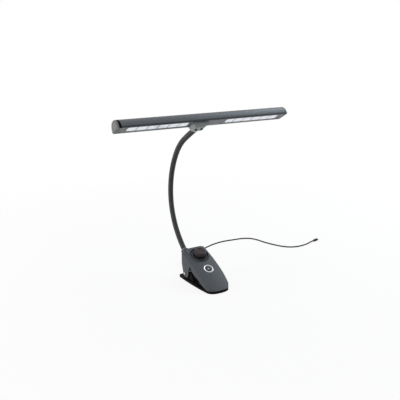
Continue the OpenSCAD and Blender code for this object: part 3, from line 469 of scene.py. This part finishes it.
def paintOver(tree, surface, mask, code):
    # lays a second colour over what the surface has, where mask is 1
    socket = surface.inputs["Base Color"]
    mix = addNode(tree, "ShaderNodeMix", {6: list(socket.default_value), 7: linear(code)},
                  data_type="RGBA")
    if socket.is_linked:
        tree.links.new(socket.links[0].from_socket, mix.inputs[6])
    tree.links.new(mask, mix.inputs[0])
    tree.links.new(mix.outputs[2], socket)


def between(tree, value, low, high, soft):
    # 1 where value lies between low and high, in metres, with soft edges
    rise = addNode(tree, "ShaderNodeMapRange", {"From Min": low - soft, "From Max": low + soft},
                   {"Value": value})
    fall = addNode(tree, "ShaderNodeMapRange", {
        "From Min": high - soft, "From Max": high + soft, "To Min": 1, "To Max": 0},
        {"Value": value})
    return addNode(tree, "ShaderNodeMath", links={
        0: rise.outputs["Result"], 1: fall.outputs["Result"]}, operation="MULTIPLY").outputs[0]


def offsetFrom(tree, place, seat):
    # place, counted from the seat's own point
    return addNode(tree, "ShaderNodeVectorMath", {1: tuple(v * mm for v in seat["point"])},
                   {0: place}, operation="SUBTRACT").outputs["Vector"]


def reachFrom(tree, place, seat):
    # distance from the axis of a round part on the sloping shell
    tilt = math.radians(seat["tilt"])
    cross = addNode(tree, "ShaderNodeVectorMath", {1: (0, -math.sin(tilt), math.cos(tilt))},
                    {0: offsetFrom(tree, place, seat)}, operation="CROSS_PRODUCT")
    return addNode(tree, "ShaderNodeVectorMath", links={0: cross.outputs["Vector"]},
                   operation="LENGTH").outputs["Value"]


def dress(names, material):
    for name in names:
        mesh = nodes[name].data
        mesh.materials.clear()
        mesh.materials.append(material)


# powder-coated aluminium extrusion: a satin skin with the faint orange peel of sprayed powder,
# drawn out along the bar, with painted shade on its lower lip and in a band beside the left cap
barLook = {"base": "#494c50", "shade": "#52575d", "roughness": 0.38, "metallic": 0.2, "drift": 90,
           "grain": (0.9, 0.006, (0.12, 1, 1)), "sockets": {"Specular IOR Level": 0.4},
           "gapWidth": 3.4, "gapSoft": 0.2, "gapSpecular": 0.02,
           "lip": 3.2, "lipSoft": 0.7, "lipShadeColour": "#1c1e22", "overrun": 1}


def makeBarFinish(look, bar):
    material, tree, surface, place = startFinish("powderCoatedAluminium", look)
    tilt = math.radians(bar["tilt"])
    height = addNode(tree, "ShaderNodeVectorMath", {1: (0, math.sin(tilt), math.cos(tilt))},
                     {0: place}, operation="DOT_PRODUCT").outputs["Value"]
    overrun = look["overrun"] * mm      # the paint runs on this far past the housing's edges
    # painted shade: the lip above the plate is painted darker, for the shadow under the housing's
    # edge
    low = bar["underside"] * mm
    lip = between(tree, height, low - overrun, low + look["lip"] * mm, look["lipSoft"] * mm)
    paintOver(tree, surface, lip, look["lipShadeColour"])
    # painted shadow: a black band is painted beside the left cap only, wider than the real groove,
    # and its gloss is dulled
    along = addNode(tree, "ShaderNodeSeparateXYZ", links={0: place}).outputs["X"]
    inner = (bar["length"] / 2 - bar["cap"]) * mm
    gap = between(tree, along, -inner - overrun, -inner + look["gapWidth"] * mm,
                  look["gapSoft"] * mm)
    paintOver(tree, surface, gap, bar["gapShadeColour"])
    dull = addNode(tree, "ShaderNodeMapRange", {
        "To Min": look["sockets"]["Specular IOR Level"], "To Max": look["gapSpecular"]},
        {"Value": gap})
    tree.links.new(dull.outputs["Result"], surface.inputs["Specular IOR Level"])
    return material


dress(["bar_housing"], makeBarFinish(barLook, barSetup))

# moulded ABS end cap: dry and paler than the bar, with a spark-eroded texture, drawn coarser than
# the real one so that it shows
capLook = {"base": "#646665", "shade": "#6f7170", "roughness": 0.45, "drift": 8,
           "grain": (0.6, 0.008, (1, 1, 1)), "sockets": {"Specular IOR Level": 0.25},
           "gapTimes": 2, "gapSoft": 0.1}       # the painted shadow is two grooves wide


def makeCapFinish(look, bar):
    material, tree, surface, place = startFinish("mouldedAbsCap", look)
    along = addNode(tree, "ShaderNodeSeparateXYZ", links={0: place}).outputs["X"]
    inner = (bar["length"] / 2 - bar["cap"]) * mm
    # painted shadow: the left cap's groove is painted black, and the rounded edge where the cap
    # turns in to it
    gap = between(tree, along, -inner - look["gapTimes"] * bar["groove"] * mm, 0,
                  look["gapSoft"] * mm)
    paintOver(tree, surface, gap, bar["gapShadeColour"])
    return material


dress(["end_cap_left", "end_cap_right"], makeCapFinish(capLook, barSetup))

# moulded ABS plate under the bar: satin, a shade warmer than the paint, with an even texture,
# drawn coarser than the real one so that it shows
plateLook = {"base": "#4d4f53", "shade": "#54565b", "roughness": 0.4, "drift": 30,
             "grain": (0.7, 0.02, (1, 1, 1)), "sockets": {"Specular IOR Level": 0.4}}
dress(["underside_plate"], startFinish("mouldedAbsPlate", plateLook)[0])

# prismatic acrylic window: milky and softly glossy, with a faint painted glow from emission, and a
# painted grey rib between its six light cells
windowLook = {"base": "#f2f4f7", "shade": "#e3e6eb", "roughness": 0.16, "drift": 12,
              "sockets": {"Transmission Weight": 0.22, "IOR": 1.49, "Emission Strength": 0.14,
                          "Emission Color": linear("#f4f6ff")},
              "rib": 3.0, "ribSoft": 1.5, "ribColour": "#6a6e76"}


def makeWindowFinish(look, bar):
    material, tree, surface, place = startFinish("prismaticAcrylic", look)
    cell = bar["windowLength"] / bar["cells"] * mm
    start = (bar["windowMiddle"] - bar["windowLength"] / 2) * mm
    along = addNode(tree, "ShaderNodeSeparateXYZ", links={0: place}).outputs["X"]
    # counted from the bar's middle, so that both halves get the same
    fromMiddle = addNode(tree, "ShaderNodeMath", links={0: along}, operation="ABSOLUTE")
    shifted = addNode(tree, "ShaderNodeMath", {1: start - cell / 2}, {0: fromMiddle.outputs[0]},
                      operation="SUBTRACT")
    inCell = addNode(tree, "ShaderNodeMath", {1: cell}, {0: shifted.outputs[0]},
                     operation="FLOORED_MODULO")
    middle = cell / 2
    half = look["rib"] / 2 * mm
    ribs = between(tree, inCell.outputs[0], middle - half, middle + half, look["ribSoft"] * mm)
    paintOver(tree, surface, ribs, look["ribColour"])
    return material


dress(["window_left", "window_right"], makeWindowFinish(windowLook, barSetup))

# wound steel hose, black-enamelled: satin crests that catch the light, and painted shade that
# darkens the grooves almost to black
hoseLook = {"base": "#2b2b2e", "shade": "#353538", "roughness": 0.4, "metallic": 0.3, "drift": 14,
            "grain": (0.5, 0.012, (1, 1, 1)), "sockets": {"Specular IOR Level": 0.4},
            "grooveSpan": (0.15, 0.8), "grooveShadeColour": "#0d0d0f"}


def makeHoseFinish(look):
    material, tree, surface, place = startFinish("enamelledSteelHose", look)
    depth = addNode(tree, "ShaderNodeAttribute", attribute_name="grooveDepth")
    crest, floor = look["grooveSpan"]
    sunk = addNode(tree, "ShaderNodeMapRange", {"From Min": crest, "From Max": floor},
                   {"Value": depth.outputs["Fac"]})
    # painted shade: the deeper a point lies in its groove, the darker it is painted
    paintOver(tree, surface, sunk.outputs["Result"], look["grooveShadeColour"])
    return material


hoseFinish = makeHoseFinish(hoseLook)
for piece in neckPieces:
    piece.data.materials.append(hoseFinish)

# die-cast zinc bracket under grey-green paint: soft satin with a slight cast unevenness
bracketLook = {"base": "#868b8a", "shade": "#919694", "roughness": 0.48, "metallic": 0.15,
               "drift": 9, "grain": (0.8, 0.03, (1, 1, 1))}
dress(["neck_bracket"], startFinish("paintedDieCastZinc", bracketLook)[0])

# ABS shell, spark-eroded: a dry blue-grey satin with a grain that breaks up the highlights, drawn
# coarser than the real one so that it shows
shellLook = {"base": "#313439", "shade": "#383d43", "roughness": 0.5, "drift": 26,
             "grain": (0.45, 0.008, (1, 1, 1)), "sockets": {"Specular IOR Level": 0.42}}
dress(["upper_jaw_shell"], startFinish("sparkErodedAbsShell", shellLook)[0])

# glass-filled nylon jaws: black, slightly rough, with faint flow marks along the moulding
jawLook = {"base": "#050506", "shade": "#0a0b0b", "roughness": 0.55, "drift": 18,
           "grain": (0.6, 0.03, (0.5, 1, 1)), "sockets": {"Specular IOR Level": 0.05}}
dress(["lower_jaw", "upper_jaw_base", "spring_sleeve"], startFinish("glassFilledNylon", jawLook)[0])

# ABS ring round the knob: smoother than the shell, with a texture drawn coarser than the real one,
# and painted shade, black in the knob's well and in its own groove
ringLook = {"base": "#4b4e55", "shade": "#52565d", "roughness": 0.38, "drift": 20,
            "grain": (0.4, 0.012, (1, 1, 1)), "sockets": {"Specular IOR Level": 0.2},
            "wellRadius": 16.2, "groove": (18.6, 21.3), "wellSoft": 0.25, "wellShadeColour": "#050506"}


def makeRingFinish(look, seat):
    material, tree, surface, place = startFinish("smoothAbsRing", look)
    reach = reachFrom(tree, place, seat)
    low, high = (v * mm for v in look["groove"])
    # painted shade: black in the knob's well and in the ring's groove
    for inner, outer in ((-farOff, look["wellRadius"] * mm), (low, high)):
        dark = between(tree, reach, inner, outer, look["wellSoft"] * mm)
        paintOver(tree, surface, dark, look["wellShadeColour"])
    return material


dress(["knob_bezel"], makeRingFinish(ringLook, knobSeat))

# soft-touch rubber paint on the knob: matt brown-black, with fine grip ribs round the side and
# painted shade on its foot
knobLook = {"base": "#2e2729", "shade": "#352d2f", "roughness": 0.62, "drift": 9,
            "sockets": {"Specular IOR Level": 0.22, "Sheen Weight": 0.06, "Sheen Roughness": 0.5},
            "ribs": 44, "ribHeight": 0.25, "ribStrength": 0.8, "ribReach": (11.5, 12.3),
            "skirt": 5.8, "skirtSoft": 0.5, "skirtShadeColour": "#050506"}


def makeKnobFinish(look, seat):
    material, tree, surface, place = startFinish("softTouchPaint", look)
    tilt = math.radians(seat["tilt"])
    level = addNode(tree, "ShaderNodeVectorRotate", {"Angle": -tilt, "Axis": (1, 0, 0)},
                    {"Vector": offsetFrom(tree, place, seat)}, rotation_type="AXIS_ANGLE")
    split = addNode(tree, "ShaderNodeSeparateXYZ", links={0: level.outputs["Vector"]})
    # painted shade: the foot, down in the well, is painted black for the well's shadow
    foot = between(tree, split.outputs["Z"], -farOff, look["skirt"] * mm, look["skirtSoft"] * mm)
    paintOver(tree, surface, foot, look["skirtShadeColour"])
    turn = addNode(tree, "ShaderNodeMath", links={0: split.outputs["Y"], 1: split.outputs["X"]},
                   operation="ARCTAN2")
    many = addNode(tree, "ShaderNodeMath", {1: float(look["ribs"])}, {0: turn.outputs[0]},
                   operation="MULTIPLY")
    wave = addNode(tree, "ShaderNodeMath", links={0: many.outputs[0]}, operation="SINE")
    # the ribs stay on the side, and fade in between two distances from the axis
    near, far = (v * mm for v in look["ribReach"])
    onSide = addNode(tree, "ShaderNodeMapRange", {"From Min": near, "From Max": far},
                     {"Value": reachFrom(tree, place, seat)})
    ribs = addNode(tree, "ShaderNodeMath", links={0: wave.outputs[0], 1: onSide.outputs["Result"]},
                   operation="MULTIPLY")
    bump = addNode(tree, "ShaderNodeBump", {
        "Strength": look["ribStrength"], "Distance": look["ribHeight"] * mm},
        {"Height": ribs.outputs[0]})
    tree.links.new(bump.outputs["Normal"], surface.inputs["Normal"])
    return material


dress(["knob"], makeKnobFinish(knobLook, knobSeat))

# badge centre, glossy enamel: a hard shine on black, with a plain silver dot and rim painted on it
badgeLook = {"base": "#0c0d0f", "roughness": 0.2, "sockets": {"Specular IOR Level": 0.16},
             "dot": 2.6, "rim": 7.4, "edgeSoft": 0.2, "silver": "#a3a6aa"}


def makeBadgeFinish(look, seat):
    material, tree, surface, place = startFinish("glossEnamelBadge", look)
    reach = reachFrom(tree, place, seat)
    for inner, outer in ((-farOff, look["dot"] * mm), (look["rim"] * mm, farOff)):
        silver = between(tree, reach, inner, outer, look["edgeSoft"] * mm)
        paintOver(tree, surface, silver, look["silver"])
    return material


dress(["badge_face"], makeBadgeFinish(badgeLook, badgeSeat))

# chrome plate: a near mirror, so it reads by the pale room and dark clip that it shows
chromeLook = {"base": "#c3c5c8", "roughness": 0.12, "metallic": 1.0}
dress(["badge_ring", "plug_barrel"], startFinish("chromePlate", chromeLook)[0])

# zinc-plated steel: a softer grey metal with the haze of plating, drawn coarser so that it shows
zincLook = {"base": "#a6a7a8", "roughness": 0.34, "metallic": 1.0, "grain": (0.5, 0.01, (1, 1, 1))}
zincFinish = startFinish("zincPlatedSteel", zincLook)[0]
dress(["neck_top_ferrule", "neck_base_ferrule", "potentiometer", "pot_shaft", "pot_nut",
       "base_screws", "hinge_pin", "pin_washers"], zincFinish)
springPiece.data.materials.append(zincFinish)

# black-oxide steel screws: dark metal with a dull gleam, and a grain drawn coarser so that it shows
screwLook = {"base": "#0d0d0e", "roughness": 0.45, "metallic": 0.4, "grain": (0.4, 0.01, (1, 1, 1)),
             "sockets": {"Specular IOR Level": 0.12}}
dress(["plate_screws", "bracket_screws"], startFinish("blackOxideSteel", screwLook)[0])

# silicone jaw pads, moulded: matt black and a little dusty
padLook = {"base": "#161617", "shade": "#1f1f21", "roughness": 0.72, "drift": 7,
           "grain": (0.5, 0.03, (1, 1, 1))}
dress(["upper_pad", "lower_pad"], startFinish("siliconeRubber", padLook)[0])

# woven hook-and-loop strap: dull black with an uneven weave of 0.9 mm, coarser than the real one
# so that it shows
strapLook = {"base": "#17171a", "shade": "#232327", "roughness": 0.85, "drift": 2,
             "grain": (0.9, 0.12, (1, 1, 2))}
tiePiece.data.materials.append(startFinish("wovenStrap", strapLook)[0])

# soft PVC cord: smooth black with the faint unevenness of extrusion
cordLook = {"base": "#0f0f11", "shade": "#151518", "roughness": 0.45, "drift": 12,
            "grain": (0.8, 0.02, (1, 1, 1)), "sockets": {"Specular IOR Level": 0.2}}
cordFinish = startFinish("softPvcCord", cordLook)[0]
neckLeads = ["neck_lead_%d" % (k + 1) for k in range(len(neckSetup["turns"]))]
dress(["strain_relief", "plug_body"] + neckLeads, cordFinish)
powerCord.data.materials.append(cordFinish)

# glass-epoxy circuit board: green solder mask, slightly uneven over its weave, which is drawn
# coarser than the real one
boardLook = {"base": "#27553a", "shade": "#2d5f42", "roughness": 0.3, "drift": 16,
             "grain": (1.2, 0.01, (1, 1, 1))}
dress(["led_board_left", "led_board_right", "driver_board", "dimmer_board"],
      startFinish("glassEpoxyBoard", boardLook)[0])

# light-emitting diode: pale yellow phosphor gel
diodeLook = {"base": "#f4e7a1", "shade": "#f7eebd", "roughness": 0.35, "drift": 1.5}
dress(["led_chips_left", "led_chips_right"], startFinish("phosphorGel", diodeLook)[0])

# white polycarbonate reflector tray: bright and smooth, to throw the light down
trayLook = {"base": "#f1f1ee", "shade": "#e9e9e6", "roughness": 0.3, "drift": 15}
dress(["reflector_left", "reflector_right"], startFinish("whitePolycarbonate", trayLook)[0])
print("materials made:", len(bpy.data.materials))


studio = {
    "sky": 0.38,            # light from all round, on the object
    "floor": "#f4f4f4",
    "floorHalf": 6.0,       # metres from its middle to each side
    "floorDrop": 0.0002,    # metres below the clip's underside
    "glowNear": 0.86,       # how much of the floor's look is plain white, at the object
    "fade": (0.25, 1.1),    # metres from the middle, over which that grows to all of it
    "lamps": [
        {"name": "leftLamp", "place": (-1.9, 0.25, 0.45), "aim": (0, 0, 0.15),
         "size": 0.8, "watts": 20, "colour": (1.0, 0.985, 0.96)},
        {"name": "rightLamp", "place": (1.0, 0.05, 1.0), "aim": (0.05, 0, 0.2),
         "size": 0.9, "watts": 8, "colour": (0.80, 0.90, 1.0)},
        {"name": "topLamp", "place": (-0.3, 0.3, 2.0), "aim": (0, 0, 0.25),
         "size": 1.2, "watts": 9, "colour": (1.0, 1.0, 1.0)},
    ],
}


def seenRays(tree):
    # camera, glossy and transmitted rays: metal and glass show the background that the camera sees
    rays = addNode(tree, "ShaderNodeLightPath")
    seen = rays.outputs["Is Camera Ray"]
    for kind in ("Is Glossy Ray", "Is Transmission Ray"):
        seen = addNode(tree, "ShaderNodeMath", links={0: seen, 1: rays.outputs[kind]},
                       operation="MAXIMUM").outputs[0]
    return seen


def makeRoom(c):
    world = bpy.data.worlds.new("paleRoom")
    bpy.context.scene.world = world
    world.use_nodes = True
    tree = world.node_tree
    tree.nodes.clear()
    strength = addNode(tree, "ShaderNodeMapRange", {"To Min": c["sky"], "To Max": 1.0},
                       {"Value": seenRays(tree)})
    light = addNode(tree, "ShaderNodeBackground", {"Color": (1, 1, 1, 1)},
                    {"Strength": strength.outputs["Result"]})
    out = addNode(tree, "ShaderNodeOutputWorld")
    tree.links.new(light.outputs["Background"], out.inputs["Surface"])


def makeLamps(c):
    for lamp in c["lamps"]:
        data = bpy.data.lights.new(lamp["name"], "AREA")
        data.size = lamp["size"]
        data.energy = lamp["watts"]
        data.color = lamp["colour"]
        lampObject = bpy.data.objects.new(lamp["name"], data)
        bpy.context.collection.objects.link(lampObject)
        lampObject.location = lamp["place"]
        aim = Vector(lamp["aim"]) - Vector(lamp["place"])
        lampObject.rotation_mode = "QUATERNION"
        lampObject.rotation_quaternion = aim.to_track_quat("-Z", "Y")


def makeFloor(c):
    mesh = bpy.data.meshes.new("studioFloor")
    half = c["floorHalf"]
    corners = [(-half, -half, 0), (half, -half, 0), (half, half, 0), (-half, half, 0)]
    mesh.from_pydata(corners, [], [(0, 1, 2, 3)])
    floor = bpy.data.objects.new("studioFloor", mesh)
    bpy.context.collection.objects.link(floor)
    floor.location = (0, 0, -c["floorDrop"])
    # seamless paper: it keeps a soft shadow near the lamp and turns plain white away from it
    material = bpy.data.materials.new("seamlessPaper")
    material.use_nodes = True
    tree = material.node_tree
    tree.nodes.clear()
    place = addNode(tree, "ShaderNodeTexCoord").outputs["Object"]
    away = addNode(tree, "ShaderNodeVectorMath", links={0: place},
                   operation="LENGTH").outputs["Value"]
    near, far = c["fade"]
    glow = addNode(tree, "ShaderNodeMapRange", {
        "From Min": near, "From Max": far, "To Min": c["glowNear"], "To Max": 1.0},
        {"Value": away})
    share = addNode(tree, "ShaderNodeMath", links={0: glow.outputs["Result"], 1: seenRays(tree)},
                    operation="MULTIPLY")
    paper = addNode(tree, "ShaderNodeBsdfDiffuse", {"Color": linear(c["floor"])})
    white = addNode(tree, "ShaderNodeEmission", {"Color": (1, 1, 1, 1), "Strength": 1.0})
    mix = addNode(tree, "ShaderNodeMixShader", links={
        0: share.outputs[0], 1: paper.outputs[0], 2: white.outputs[0]})
    out = addNode(tree, "ShaderNodeOutputMaterial")
    tree.links.new(mix.outputs[0], out.inputs["Surface"])
    mesh.materials.append(material)


makeRoom(studio)
makeLamps(studio)
makeFloor(studio)
bpy.context.scene.view_settings.view_transform = "Standard"
print("studio lit")
